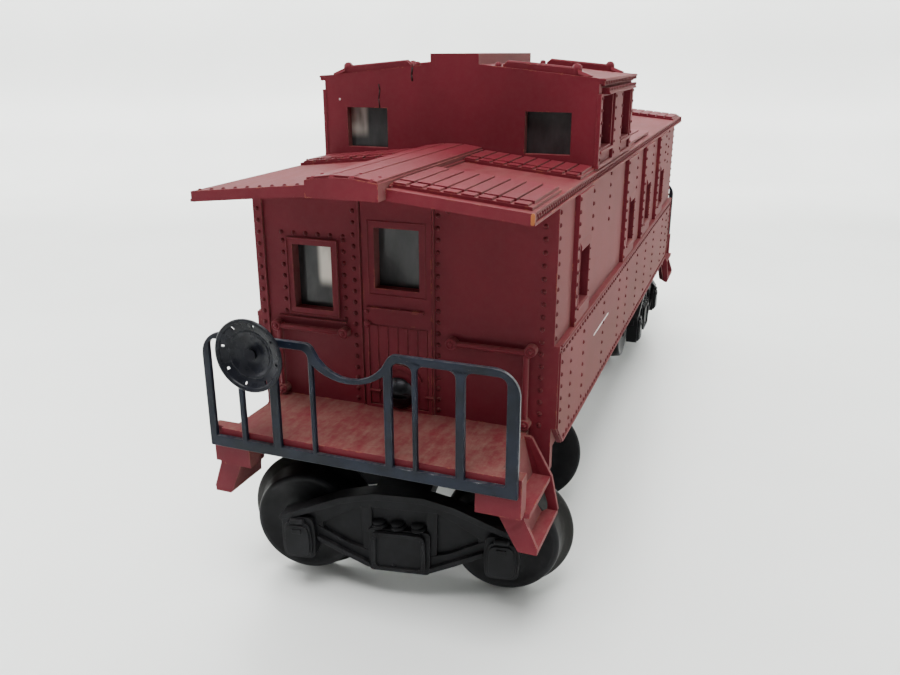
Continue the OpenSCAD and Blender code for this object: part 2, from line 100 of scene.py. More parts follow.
# ---- directions and mirrorings ----

UP = (0, 0, 1)
OUT_END = (-1, 0, 0)
OUT_SIDE = (0, -1, 0)
HERE = Matrix.Identity(4)
FAR_END = Matrix.Rotation(math.pi, 4, "Z")
LEFT = Matrix.Scale(-1, 4, Vector((0, 1, 0)))
BACKWARD = Matrix.Scale(-1, 4, Vector((1, 0, 0)))


def place(point, turn=HERE):
    """A point of the car in millimetres, as a point of the frame in metres."""
    p = turn @ Vector(point)
    return Vector(((p.x + CAR_X) * MM, p.y * MM, (p.z + DECK) * MM))


def roof_z(y):
    """Height of the roof's upper surface above the deck."""
    return ROOF_TOP + RISE * (1 - abs(y) / SIDE)


# ---- mesh building ----


class Build:
    """Gathers closed shapes into one mesh, through a transform in car millimetres."""

    def __init__(self, turn=HERE):
        self.bm = bmesh.new()
        self.turn = turn

    def vert(self, p):
        return self.bm.verts.new(place(p, self.turn))

    def loft(self, rings, closed=False):
        """Joins rings of equally many points, and caps the ends unless the rings close on themselves."""
        rows = [[self.vert(p) for p in ring] for ring in rings]
        count = len(rows[0])
        spans = list(zip(rows, rows[1:]))
        if closed:
            spans.append((rows[-1], rows[0]))
        for a, b in spans:
            for i in range(count):
                j = (i + 1) % count
                self.bm.faces.new((a[i], a[j], b[j], b[i]))
        if not closed:
            self.bm.faces.new(list(reversed(rows[0])))
            self.bm.faces.new(rows[-1])

    def box(self, low, high):
        (x0, y0, z0), (x1, y1, z1) = low, high
        ring = [(x0, y0), (x1, y0), (x1, y1), (x0, y1)]
        self.loft([[(x, y, z) for x, y in ring] for z in (z0, z1)])

    def prism(self, outline, axis, a, b):
        """An outline in the two axes other than axis, in X, Y, Z order, pushed from a to b."""
        at = {
            "x": lambda u, v, w: (w, u, v),
            "y": lambda u, v, w: (u, w, v),
            "z": lambda u, v, w: (u, v, w),
        }[axis]
        self.loft([[at(u, v, w) for u, v in outline] for w in (a, b)])

    def lathe(self, profile, centre, axis, steps=24, worn=()):
        """A solid of (radius, distance) points turned about an axis; the profile closes on itself
        unless it starts and ends at radius 0. The bands numbered in worn get the second material."""
        centre, axis = Vector(centre), Vector(axis).normalized()
        side = axis.orthogonal().normalized()
        up = axis.cross(side)
        rows = []
        for radius, along in profile:
            if radius < 1e-6:
                rows.append([self.vert(centre + axis * along)])
                continue
            row = []
            for i in range(steps):
                a = 2 * math.pi * i / steps
                out = side * math.cos(a) + up * math.sin(a)
                row.append(self.vert(centre + axis * along + out * radius))
            rows.append(row)
        open_ends = len(rows[0]) == 1 or len(rows[-1]) == 1
        spans = list(zip(rows, rows[1:]))
        if not open_ends:
            spans.append((rows[-1], rows[0]))
        for band, (a, b) in enumerate(spans):
            for i in range(steps):
                j = (i + 1) % steps
                corners = [a[i % len(a)], a[j % len(a)], b[j % len(b)], b[i % len(b)]]
                ring = list(dict.fromkeys(corners))
                if len(ring) > 2:
                    self.bm.faces.new(ring).material_index = int(band in worn)

    def rivet(self, centre, axis, radius=RIVET, height=RIVET_HIGH):
        """A low dome standing on a surface, let into it a little."""
        foot = -0.05
        dome = [(0, height), (radius * 0.55, height * 0.82), (radius, height * 0.1)]
        self.lathe(dome + [(radius, foot), (0, foot)], centre, axis, 8)

    def rod(self, a, b, radius, steps=12):
        """A round bar from a to b with softly rounded ends."""
        a, b = Vector(a), Vector(b)
        length = (b - a).length
        cap = radius * 0.6
        start = [(0, 0), (radius - cap, 0), (radius, cap)]
        self.lathe(start + [(r, length - d) for r, d in reversed(start)], a, b - a, steps)

    def tube(self, path, radius, steps=12):
        """A round bar along a smooth path."""
        path = [Vector(p) for p in path]
        up = None
        rings = []
        for i, p in enumerate(path):
            ahead = path[min(i + 1, len(path) - 1)] - path[max(i - 1, 0)]
            ahead.normalize()
            if up is None:
                up = ahead.orthogonal().normalized()
            side = ahead.cross(up).normalized()
            up = side.cross(ahead).normalized()
            rings.append(
                [
                    p + (up * math.cos(t) + side * math.sin(t)) * radius
                    for t in (2 * math.pi * k / steps for k in range(steps))
                ]
            )
        self.loft(rings)

    def done(self, name, material, bevel=0.0, body="car_body", extra=None):
        """Turns the mesh into a piece that rides on a body."""
        bmesh.ops.recalc_face_normals(self.bm, faces=self.bm.faces)
        mesh = bpy.data.meshes.new(name)
        self.bm.to_mesh(mesh)
        self.bm.free()
        mesh.materials.append(material)
        if extra is not None:
            mesh.materials.append(extra)
        mesh.shade_smooth()
        piece = bpy.data.objects.new(name, mesh)
        bpy.context.scene.collection.objects.link(piece)
        soften(piece, bevel)
        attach(piece, body)
        return piece


SHARP = math.radians(35)  # edges that turn by more than this are rounded


def soften(piece, width, segments=2):
    """Rounds the edges of a piece, and keeps its flat faces flat."""
    if width > 0:
        bevel = piece.modifiers.new("edges", "BEVEL")
        bevel.width = width * MM
        bevel.segments = segments
        bevel.limit_method = "ANGLE"
        bevel.angle_limit = SHARP
        bevel.harden_normals = True
        bevel.use_clamp_overlap = True
    else:
        piece.modifiers.new("normals", "WEIGHTED_NORMAL")


def rounded(outline, radius, steps=4):
    """An outline with every corner rounded off."""
    points = [Vector(p) for p in outline]
    out = []
    for i, p in enumerate(points):
        a, c = points[i - 1], points[(i + 1) % len(points)]
        # two cuts never meet on a side
        cut = min(radius, (a - p).length * 0.45, (c - p).length * 0.45)
        start = p + (a - p).normalized() * cut
        stop = p + (c - p).normalized() * cut
        for k in range(steps + 1):
            t = k / steps
            q = start * (1 - t) ** 2 + p * 2 * t * (1 - t) + stop * t * t
            out.append((q.x, q.y))
    return out


# ---- materials ----


class Nodes:
    """Short forms for wiring a material's nodes."""

    def __init__(self, name):
        self.material = bpy.data.materials.new(name)
        self.material.use_nodes = True
        self.tree = self.material.node_tree
        self.tree.nodes.clear()
        self.out = self.tree.nodes.new("ShaderNodeOutputMaterial")
        self.shader = self.tree.nodes.new("ShaderNodeBsdfPrincipled")
        self.tree.links.new(self.shader.outputs[0], self.out.inputs["Surface"])
        self.place = self.tree.nodes.new("ShaderNodeTexCoord").outputs["Object"]
        self.normal = self.tree.nodes.new("ShaderNodeNewGeometry").outputs["Normal"]

    def put(self, socket, value):
        if isinstance(value, bpy.types.NodeSocket):
            self.tree.links.new(value, socket)
        elif socket.type == "RGBA" and len(value) == 3:
            socket.default_value = (*value, 1)
        else:
            socket.default_value = value

    def math(self, kind, a, b=0.0, clamp=False):
        n = self.tree.nodes.new("ShaderNodeMath")
        n.operation = kind
        n.use_clamp = clamp
        for socket, value in zip(n.inputs, (a, b)):
            self.put(socket, value)
        return n.outputs[0]

    def times(self, a, b):
        return self.math("MULTIPLY", a, b)

    def plus(self, a, b, clamp=False):
        return self.math("ADD", a, b, clamp)

    def noise(self, size, detail=3.0, rough=0.5, stretch=(1, 1, 1), shift=0.0):
        """Noise whose features are about size millimetres across."""
        m = self.tree.nodes.new("ShaderNodeMapping")
        self.put(m.inputs["Vector"], self.place)
        m.inputs["Location"].default_value = (shift, shift * 0.7, shift * 1.3)
        m.inputs["Scale"].default_value = [1 / (size * MM * s) for s in stretch]
        n = self.tree.nodes.new("ShaderNodeTexNoise")
        self.put(n.inputs["Vector"], m.outputs[0])
        n.inputs["Scale"].default_value = 1.0
        n.inputs["Detail"].default_value = detail
        n.inputs["Roughness"].default_value = rough
        return n.outputs["Fac"]

    def band(self, value, low, high):
        """0 below low, 1 above high, smooth between."""
        n = self.tree.nodes.new("ShaderNodeMapRange")
        n.interpolation_type = "SMOOTHSTEP"
        self.put(n.inputs["Value"], value)
        n.inputs["From Min"].default_value = low
        n.inputs["From Max"].default_value = high
        return n.outputs[0]

    def mix(self, factor, a, b):
        n = self.tree.nodes.new("ShaderNodeMix")
        n.data_type = "RGBA"
        self.put(n.inputs[0], factor)
        self.put(n.inputs[6], a)
        self.put(n.inputs[7], b)
        return n.outputs[2]

    def facing(self, axis):
        """How far the surface faces along an axis of the frame."""
        n = self.tree.nodes.new("ShaderNodeSeparateXYZ")
        self.put(n.inputs[0], self.normal)
        return n.outputs["XYZ".index(axis)]

    def up(self):
        return self.facing("Z")

    def coordinate(self, axis):
        n = self.tree.nodes.new("ShaderNodeSeparateXYZ")
        self.put(n.inputs[0], self.place)
        return n.outputs["XYZ".index(axis)]

    def edge(self, radius):
        """1 on rounded edges within radius millimetres, 0 on flat faces."""
        b = self.tree.nodes.new("ShaderNodeBevel")
        b.samples = 4
        b.inputs["Radius"].default_value = radius * MM
        d = self.tree.nodes.new("ShaderNodeVectorMath")
        d.operation = "DOT_PRODUCT"
        self.put(d.inputs[0], b.outputs[0])
        self.put(d.inputs[1], self.normal)
        return self.math("SUBTRACT", 1.0, d.outputs["Value"], clamp=True)

    def bump(self, height, depth, strength=1.0, before=None):
        """Bump of a height in the range 0 to 1, depth millimetres deep."""
        n = self.tree.nodes.new("ShaderNodeBump")
        n.inputs["Strength"].default_value = strength
        n.inputs["Distance"].default_value = depth * MM
        self.put(n.inputs["Height"], height)
        if before is not None:
            self.put(n.inputs["Normal"], before)
        return n.outputs[0]

    def finish(self, **sockets):
        for name, value in sockets.items():
            self.put(self.shader.inputs[name.replace("_", " ")], value)
        return self.material


MAROON = (0.118, 0.0095, 0.0180)
WORN_MAROON = (0.42, 0.15, 0.07)
# dust colours; on the long sides they also paint the pale sheen of grazing reflection
ROOF_DUST_AND_SHEEN = (0.24, 0.155, 0.13)
DECK_DUST_AND_SHEEN = (0.20, 0.16, 0.12)


def shade(colour, factor):
    return tuple(c * factor for c in colour)


def red_plastic(name, dust, haze=0.05, base=MAROON, worn=0.0):
    """Moulded maroon plastic: faint mottling, dust that settles on what faces up, a pale film on the long
    sides that is partly dust and partly painted sheen, fine scratches.
    """
    n = Nodes(name)
    mottle = n.noise(14, 3, 0.5)
    grain = n.noise(0.3, 2, 0.6, shift=3.0)
    speck = n.noise(1.1, 6, 0.75, shift=7.0)
    streak = n.noise(2.2, 5, 0.7, stretch=(4, 1, 1), shift=1.0)
    scratch = n.noise(0.5, 3, 0.7, stretch=(9, 1, 1), shift=11.0)
    colour = n.mix(n.band(mottle, 0.3, 0.72), shade(base, 0.88), shade(base, 1.12))
    up = n.band(n.up(), 0.3, 0.97)
    lying = n.plus(n.times(n.band(streak, 0.25, 0.72), 0.6), n.times(n.band(speck, 0.3, 0.7), 0.4))
    settled = n.times(up, lying)
    # a faint dust haze everywhere, and on the long sides a pale film that is partly dust and partly
    # painted sheen, standing in for their grazing reflection
    sideways = n.band(n.math("ABSOLUTE", n.facing("Y")), 0.7, 0.97)
    side_dust_and_sheen = n.times(n.times(sideways, n.band(speck, 0.1, 0.6)), 0.3)
    dust_haze_and_sheen = n.plus(n.times(n.band(speck, 0.3, 0.8), haze), side_dust_and_sheen)
    # dust lies thicker on the platforms than on the roof
    z = n.coordinate("Z")
    above_deck = n.band(z, (DECK + 2) * MM, (DECK + 12) * MM)
    low = n.math("SUBTRACT", n.band(z, (DECK - 3) * MM, (DECK - 1) * MM), above_deck)
    thick = n.plus(n.times(low, 0.2), dust)
    cover = n.math("MAXIMUM", n.times(settled, thick), dust_haze_and_sheen)
    # the dust colours, laid on by cover, also paint the sheen of the long sides
    colour = n.mix(cover, colour, n.mix(low, ROOF_DUST_AND_SHEEN, DECK_DUST_AND_SHEEN))
    if worn > 0:
        patches = n.band(n.noise(2.2, 4, 0.7, shift=2.0), 0.52, 0.64)
        rub = n.times(n.band(n.edge(0.4), 0.05, 0.3), patches)
        colour = n.mix(n.times(rub, worn), colour, WORN_MAROON)
    rough = n.plus(n.times(speck, 0.12), 0.46)
    rough = n.plus(rough, n.times(cover, 1.1), clamp=True)
    bump = n.bump(grain, 0.025, 0.3)
    bump = n.bump(scratch, 0.02, 0.2, before=bump)
    sheen = n.math("SUBTRACT", 0.17, n.times(up, 0.13))
    return n.finish(Base_Color=colour, Roughness=rough, IOR=1.5, Specular_IOR_Level=sheen, Normal=bump)


def blued_steel(name):
    """Stamped steel with a blue-black finish, rubbed bright at some edges."""
    n = Nodes(name)
    cloud = n.noise(6, 4, 0.6)
    fine = n.noise(0.6, 4, 0.65, shift=4.0)
    colour = n.mix(n.band(cloud, 0.35, 0.7), (0.005, 0.007, 0.012), (0.010, 0.014, 0.026))
    patches = n.band(n.noise(2.6, 5, 0.7, shift=9.0), 0.52, 0.66)
    rub = n.times(n.band(n.edge(0.35), 0.05, 0.35), patches)
    colour = n.mix(n.times(rub, 0.9), colour, (0.36, 0.36, 0.37))
    dusty = n.times(n.band(n.up(), 0.3, 1.0), n.band(fine, 0.3, 0.8))
    colour = n.mix(n.times(dusty, 0.22), colour, (0.24, 0.21, 0.20))
    rough = n.plus(n.times(fine, 0.22), 0.22)
    bump = n.bump(fine, 0.03, 0.3)
    return n.finish(Base_Color=colour, Roughness=rough, IOR=1.5, Specular_IOR_Level=0.18, Normal=bump)


def black_plastic(name, roughness=0.5, dust=0.16, base=(0.0075, 0.0075, 0.0088)):
    """Moulded black plastic with a slight sheen and grey dust in patches and on top."""
    n = Nodes(name)
    cloud = n.noise(5, 4, 0.6)
    fine = n.noise(0.45, 3, 0.6, shift=2.0)
    patch = n.noise(2.4, 5, 0.7, shift=6.0)
    colour = n.mix(n.band(cloud, 0.3, 0.7), shade(base, 0.75), shade(base, 1.5))
    cover = n.times(n.band(n.up(), -0.1, 0.9), n.band(patch, 0.3, 0.78))
    cover = n.plus(n.times(cover, dust), n.times(n.band(patch, 0.5, 0.85), 0.05))
    colour = n.mix(cover, colour, (0.11, 0.105, 0.10))
    rough = n.plus(n.times(patch, 0.18), roughness - 0.06)
    rough = n.plus(rough, n.times(cover, 0.3), clamp=True)
    bump = n.bump(fine, 0.04, 0.35)
    return n.finish(Base_Color=colour, Roughness=rough, IOR=1.5, Specular_IOR_Level=0.15, Normal=bump)


def bare_steel(name, base=(0.42, 0.42, 0.43), roughness=0.28):
    """Plain turned steel with light tarnish."""
    n = Nodes(name)
    cloud = n.noise(2, 4, 0.6)
    lines = n.noise(0.25, 2, 0.5, stretch=(1, 12, 12))
    colour = n.mix(n.band(cloud, 0.3, 0.75), shade(base, 0.55), base)
    rough = n.plus(n.times(cloud, 0.25), roughness - 0.08)
    return n.finish(Base_Color=colour, Roughness=rough, Metallic=1.0, Normal=n.bump(lines, 0.01, 0.3))


def dark_pane(name, patch=None):
    """Smoky translucent window insert with faint smears; patch is a soft-edged area of painted daylight, a
    pale colour where daylight shows through, as its limits in y and its foot in millimetres, and its
    strength."""
    n = Nodes(name)
    smear = n.noise(3.5, 4, 0.6, stretch=(1, 1, 2.5))
    colour = n.mix(n.band(smear, 0.3, 0.7), (0.020, 0.020, 0.021), (0.040, 0.039, 0.040))
    if patch is not None:
        y0, y1, z0, glow = patch
        y, z = n.coordinate("Y"), n.coordinate("Z")
        soft = 1.2 * MM
        foot = (z0 + DECK) * MM
        inside = n.math("SUBTRACT", 1.0, n.band(y, y1 * MM - soft, y1 * MM))
        across = n.times(n.band(y, y0 * MM, y0 * MM + soft), inside)
        lit = n.times(across, n.band(z, foot - soft, foot + soft))
        wavy = n.times(lit, n.band(n.noise(2.5, 2, 0.5, stretch=(1, 1, 3), shift=4.0), 0.05, 0.55))
        # painted daylight: a pale patch mixed into the pane's colour where daylight shows through
        colour = n.mix(n.times(wavy, glow), colour, (0.80, 0.75, 0.66))
    rough = n.plus(n.times(smear, 0.14), 0.1)
    bump = n.bump(smear, 0.05, 0.2)
    return n.finish(Base_Color=colour, Roughness=rough, IOR=1.5, Specular_IOR_Level=0.35, Normal=bump)


def white_paint(name):
    """Thin white paint, worn through in places to the maroon below."""
    n = Nodes(name)
    wear = n.noise(0.5, 4, 0.7)
    colour = n.mix(n.band(wear, 0.42, 0.66), (0.62, 0.57, 0.55), (0.34, 0.19, 0.18))
    return n.finish(Base_Color=colour, Roughness=n.plus(n.times(wear, 0.2), 0.4), IOR=1.5)


RED = red_plastic("maroon_moulding", dust=0.26, worn=0.5)
RED_RIVET = red_plastic("maroon_rivets", dust=0.12, haze=0.03, base=(0.082, 0.0065, 0.011))
RED_BOARD = red_plastic("maroon_boards", dust=0.1, worn=0.25)
RED_TRIM = red_plastic("maroon_trim", dust=0.4, worn=0.15)
CHIP = red_plastic("chipped_corner", dust=0.2, base=(0.30, 0.095, 0.03))
STRIPE = white_paint("worn_white_paint")
CRACK = black_plastic("crack_shadow", roughness=0.6, dust=0.0, base=(0.012, 0.006, 0.006))
STEEL = blued_steel("blued_steel")
BLACK = black_plastic("black_truck_plastic")
WHEEL = black_plastic("black_wheel", roughness=0.4, dust=0.14)
TREAD = black_plastic("wheel_tread", roughness=0.5, dust=0.12, base=(0.010, 0.0098, 0.009))
GLOSS_BLACK = black_plastic("black_gloss", roughness=0.24, dust=0.08, base=(0.008, 0.0085, 0.012))
METAL = bare_steel("bare_steel")
DARK_METAL = bare_steel("dark_steel", base=(0.05, 0.05, 0.055), roughness=0.3)
PIN_METAL = bare_steel("blackened_steel", base=(0.018, 0.018, 0.022), roughness=0.42)
PANE = dark_pane("smoky_pane")
LIT_PANE = dark_pane("smoky_pane_end", patch=(11.6, 15.6, 20.5, 0.95))
CUP_PANE = dark_pane("smoky_pane_cupola", patch=(17.5, 23.0, 42.6, 0.5))

# ---- carried-over CAD nodes ----


WELD_WITHIN = 0.002  # points of a CAD mesh this close become one, in millimetres


def finish_node(name, material, bevel, segments=2):
    """Gives a CAD node its material and softened edges, without touching its mesh."""
    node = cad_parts[name]
    if not node.data.materials:
        node.data.materials.append(material)
    for i in range(len(node.data.materials)):
        node.data.materials[i] = material
    weld = node.modifiers.new("weld", "WELD")
    weld.merge_threshold = WELD_WITHIN * MM
    soften(node, bevel, segments)


finish_node("body_shell", RED, 0.22)
finish_node("frame_plate", STEEL, 0.15)
for end, end_pane, cupola_pane in (("near", LIT_PANE, CUP_PANE), ("far", PANE, PANE)):
    finish_node(f"rail_{end}", STEEL, 0.22, 3)
    finish_node(f"brake_pin_{end}", PIN_METAL, 0.12)
    finish_node(f"kingpin_{end}", METAL, 0.2)
    finish_node(f"glazing_end_{end}", end_pane, 0.08)
    finish_node(f"glazing_cupola_{end}", cupola_pane, 0.08)
    finish_node(f"{end}_bolster", BLACK, 0.35)
    for k in (1, 2):
        finish_node(f"{end}_axle_{k}", METAL, 0.15)
finish_node("body_screws", DARK_METAL, 0.12)
finish_node("coupler_head", BLACK, 0.25)
finish_node("coupler_knuckle", BLACK, 0.25)
finish_node("coupler_pin", METAL, 0.12)

# ---- camera ----

VIEW_YAW = math.radians(20.55)
VIEW_PITCH = math.radians(-18.99)
CAMERA_AT = (-191.5, -53.3, 57.4)
LENS = 33.37

eye = bpy.data.objects.new("photo_camera", bpy.data.cameras.new("photo_camera"))
bpy.context.scene.collection.objects.link(eye)
eye.location = place(CAMERA_AT)
looking = Vector(
    (
        math.cos(VIEW_PITCH) * math.cos(VIEW_YAW),
        math.cos(VIEW_PITCH) * math.sin(VIEW_YAW),
        math.sin(VIEW_PITCH),
    )
)
eye.rotation_mode = "QUATERNION"
eye.rotation_quaternion = looking.to_track_quat("-Z", "Y")
eye.data.lens = LENS
eye.data.sensor_width = 36
eye.data.clip_start = 0.005
eye.data.clip_end = 20
bpy.context.scene.camera = eye

# ---- stage: pale table that sweeps up into a pale wall, and soft light ----

# in metres: how far behind the car the wall stands, the radius of the sweep at its foot, its height,
# how far the table reaches, and the point the lights are turned towards
WALL_AT = 0.43
WALL_BEND = 0.09
WALL_HIGH = 1.5
TABLE_REACH = 4.0
BEND_STEPS = 12
CAR_HEART = (0, 0, 0.05)


def stage_material():
    n = Nodes("pale_table")
    cloud = n.noise(90, 3, 0.5)
    colour = n.mix(n.band(cloud, 0.3, 0.7), (0.74, 0.755, 0.735), (0.785, 0.80, 0.78))
    rough = n.math("ADD", n.math("MULTIPLY", cloud, 0.08), 0.26)
    return n.finish(Base_Color=colour, Roughness=rough, IOR=1.45)


def make_stage():
    """A strip across the view: flat under the car, then curving up behind it."""
    mesh = bpy.data.meshes.new("table")
    bm = bmesh.new()
    turn = Matrix.Rotation(VIEW_YAW, 4, "Z")
    profile = [(-TABLE_REACH, 0.0), (WALL_AT - WALL_BEND, 0.0)]
    for i in range(1, BEND_STEPS + 1):
        a = math.radians(i * 90 / BEND_STEPS)
        profile.append((WALL_AT - WALL_BEND * (1 - math.sin(a)), WALL_BEND * (1 - math.cos(a))))
    profile.append((WALL_AT, WALL_HIGH))
    sides = (-TABLE_REACH, TABLE_REACH)
    rows = [[bm.verts.new(turn @ Vector((x, y, z))) for x, z in profile] for y in sides]
    for i in range(len(profile) - 1):
        bm.faces.new((rows[0][i], rows[0][i + 1], rows[1][i + 1], rows[1][i]))
    bm.to_mesh(mesh)
    bm.free()
    mesh.materials.append(stage_material())
    mesh.shade_smooth()
    table = bpy.data.objects.new("table", mesh)
    bpy.context.scene.collection.objects.link(table)


def soft_light(name, at, towards, size, power):
    data = bpy.data.lights.new(name, "AREA")
    data.shape = "RECTANGLE"
    data.size, data.size_y = size
    data.energy = power
    lamp = bpy.data.objects.new(name, data)
    bpy.context.scene.collection.objects.link(lamp)
    lamp.location = at
    lamp.rotation_mode = "QUATERNION"
    lamp.rotation_quaternion = (Vector(towards) - Vector(at)).to_track_quat("-Z", "Y")


make_stage()
towards_wall = Matrix.Rotation(VIEW_YAW, 3, "Z") @ Vector((1, 0, 0))
lamp_gap, lamp_high = 0.2, 0.5
lamp_spot = towards_wall * (WALL_AT - lamp_gap) + Vector((0, 0, lamp_high))
soft_light("wall_light", lamp_spot, lamp_spot + towards_wall, (1.8, 0.5), 27.0)
soft_light("top_light", (-0.31, -0.02, 0.92), CAR_HEART, (0.5, 0.5), 13.2)
soft_light("side_light", (0.02, -0.9, 0.5), CAR_HEART, (0.9, 0.7), 4.3)
soft_light("left_light", (-0.3, 0.82, 0.4), CAR_HEART, (0.6, 0.6), 4.6)


def pale_room():
    """A room that is bright overhead and dimmer towards its sides."""
    room = bpy.data.worlds.new("pale_room")
    room.use_nodes = True
    tree = room.node_tree
    sky = tree.nodes["Background"]
    sky.inputs["Color"].default_value = (0.93, 0.95, 0.94, 1)
    height = tree.nodes.new("ShaderNodeSeparateXYZ")
    tree.links.new(tree.nodes.new("ShaderNodeTexCoord").outputs["Generated"], height.inputs[0])
    level = tree.nodes.new("ShaderNodeMapRange")
    tree.links.new(height.outputs["Z"], level.inputs["Value"])
    for socket, value in (("From Min", 0.0), ("From Max", 0.8), ("To Min", 0.04), ("To Max", 0.45)):
        level.inputs[socket].default_value = value
    tree.links.new(level.outputs[0], sky.inputs["Strength"])
    return room


bpy.context.scene.world = pale_room()

# ---- body details: rivets, trim and boards ----

WALL = -HALF_LEN
WIDE_PITCH = 2.3
# profiles of the lathed fittings, as distance from the axis and height over the surface
KNOB = [(0, 0.8), (0.4, 0.72), (0.62, 0.4), (0.5, 0.15), (0.5, -0.1), (0, -0.1)]
FLANGE_LIP = [(0, 0.42), (0.3, 0.36), (0.5, 0.1), (0.66, 0.22), (0.84, 0.22), (0.95, 0.05)]
FLANGE = FLANGE_LIP + [(0.95, -1.35), (0, -1.35)]
WINDOW_DOT = [(0, 0.2), (0.14, 0.17), (0.24, 0.02), (0.24, -0.05), (0, -0.05)]
EAVE_BEAD = [(0, 0.3), (0.24, 0.26), (0.42, 0.02), (0.42, -0.05), (0, -0.05)]
BAR_POST = [(0, 2.0), (0.5, 1.9), (0.85, 1.5), (0.9, 1.0), (0.9, -0.6), (0, -0.6)]
BAR_FOOT = [(0, 0.8), (0.4, 0.7), (0.6, 0.4), (0.6, -0.8), (0, -0.8)]


def steps_between(a, b, pitch):
    """Evenly spaced values from a to b, about pitch apart."""
    count = max(1, round(abs(b - a) / pitch))
    return [a + (b - a) * i / count for i in range(count + 1)]


def wobble(rng, amount=0.05):
    return rng.uniform(-amount, amount)


def frame_ring(build, axis, at, low, high, width, depth):
    """A raised rectangular rim: at is where its back stands, low and high its inner corners."""
    (u0, v0), (u1, v1) = low, high
    bars = [
        [(u0 - width, v0 - width), (u1 + width, v0 - width), (u1, v0), (u0, v0)],
        [(u1 + width, v0 - width), (u1 + width, v1 + width), (u1, v1), (u1, v0)],
        [(u1 + width, v1 + width), (u0 - width, v1 + width), (u0, v1), (u1, v1)],
        [(u0 - width, v1 + width), (u0 - width, v0 - width), (u0, v0), (u0, v1)],
    ]
    for bar in bars:
        build.prism(bar, axis, at, at + depth)


def end_rivets(end, turn):
    """Rivet columns and rows of one end wall."""
    b = Build(turn)
    rng = random.Random(3)
    corner_strip = WALL - 0.3
    # each column's face, distance from the middle, and heights of its top and foot
    columns = [
        (WALL, 20.9, 27.5, 15.3),
        (WALL, 9.55, 28.3, 13.0),
        (WALL, 7.75, 33.2, 1.0),
        (WALL, -6.95, 33.4, 1.0),
        (WALL, -24.05, 33.0, 1.0),
        (corner_strip, 25.2, 34.6, 1.0),
    ]
    for x, y, top, foot in columns:
        for z in steps_between(top, foot, PITCH):
            b.rivet((x, y + wobble(rng), z + wobble(rng)), OUT_END)
    # rows over the window and over the door
    for y in steps_between(21.0, 9.6, WIDE_PITCH):
        b.rivet((WALL, y, 28.95 + wobble(rng)), OUT_END)
    for y in steps_between(-1.4, -8.6, WIDE_PITCH):
        b.rivet((WALL, y, 35.0 - 0.1 * abs(y)), OUT_END, RIVET * 0.9, 0.28)
    b.done(f"end_rivets_{end}", RED_RIVET)


def end_fittings(end, turn):
    """Door boards, ledges, window beads, flanges and knobs of one end wall."""
    b = Build(turn)
    root = WALL + 0.1  # where the raised parts end, inside the wall
    panel = WALL - 0.1  # face of the sunk door panel
    face = WALL - 0.4
    # vertical boards of the lower door panel, left open around the screw
    half_door, board, half_gap = 5.3, 1.75, 0.12
    edges = steps_between(half_door, -half_door, board)
    for left, right in zip(edges, edges[1:]):
        over_screw = abs((left + right) / 2) < 3.4
        foot = 8.4 if over_screw else 0.7
        b.box((panel - 0.16, right + half_gap, foot), (panel + 0.1, left - half_gap, 14.6))
    # raised collar around the upper half of the screw
    sweep = [math.radians(a) for a in steps_between(150, 28, 8)]
    outer, inner = [[(r * math.cos(a), SCREW_Z + r * math.sin(a)) for a in sweep] for r in (4.9, 4.15)]
    b.prism(outer + inner[::-1], "x", panel - 0.5, panel + 0.1)
    # two small ledges beside the screw
    for y0, y1 in ((3.3, 5.3), (-6.3, -4.6)):
        b.box((face - 0.22, y0, 2.85), (face + 0.4, y1, 3.2))
    # beads around the window of the wall and the window of the door
    frame_ring(b, "x", face - 0.16, (10.8, 15.3), (19.8, 28.0), 0.28, 0.4)
    frame_ring(b, "x", face - 0.14, (-4.85, 20.05), (4.85, 31.85), 0.24, 0.4)
    # edges of the door frame and of the corner strip, and the folded sill over the left grab iron
    for y in (6.55, -6.2):
        b.box((face, y - 0.14, 0.1), (root, y + 0.14, 35.2))
    b.box((WALL - 0.42, 24.25, 0.1), (root, 24.5, 34.6))
    b.box((WALL - 0.5, 9.4, 14.3), (root, 22.3, 14.55))
    # door latch and knob
    b.rivet((face, 5.45, 16.9), OUT_END, 0.42, 0.4)
    b.lathe(KNOB, (face, half_door, 14.9), OUT_END, 16)
    # flanges of the grab irons
    for y, z in ((-9.6, 13.3), (-22.6, 13.7), (-21.9, 1.2), (9.6, 12.8), (22.4, 12.8), (21.9, 1.2)):
        b.lathe(FLANGE, (WALL - 1.4, y, z), OUT_END)
    b.done(f"end_fittings_{end}", RED_TRIM, 0.09)


def step_edges(end, turn):
    """Outer edges of the rear step plates, which run down past the treads to the feet."""
    b = Build(turn)
    outer_face, inner_face = -75.9, -75.2  # of a rear step plate
    over = 0.05  # how far the edge stands over them
    top, bend, heel, sole = -0.1, -6.3, -12.0, -12.85  # heights along the edge
    for side, foot in ((1, 27.7), (-1, 28.3)):
        edge = [(22.6, top), (23.7, top), (27.15, bend), (foot + over, heel), (foot - 0.3, sole)]
        edge += [(foot - 1.2, sole), (25.2, bend - 0.3)]
        b.prism([(side * y, z) for y, z in edge], "x", outer_face - over, inner_face + over)
    b.done(f"step_edges_{end}", RED, 0.15)


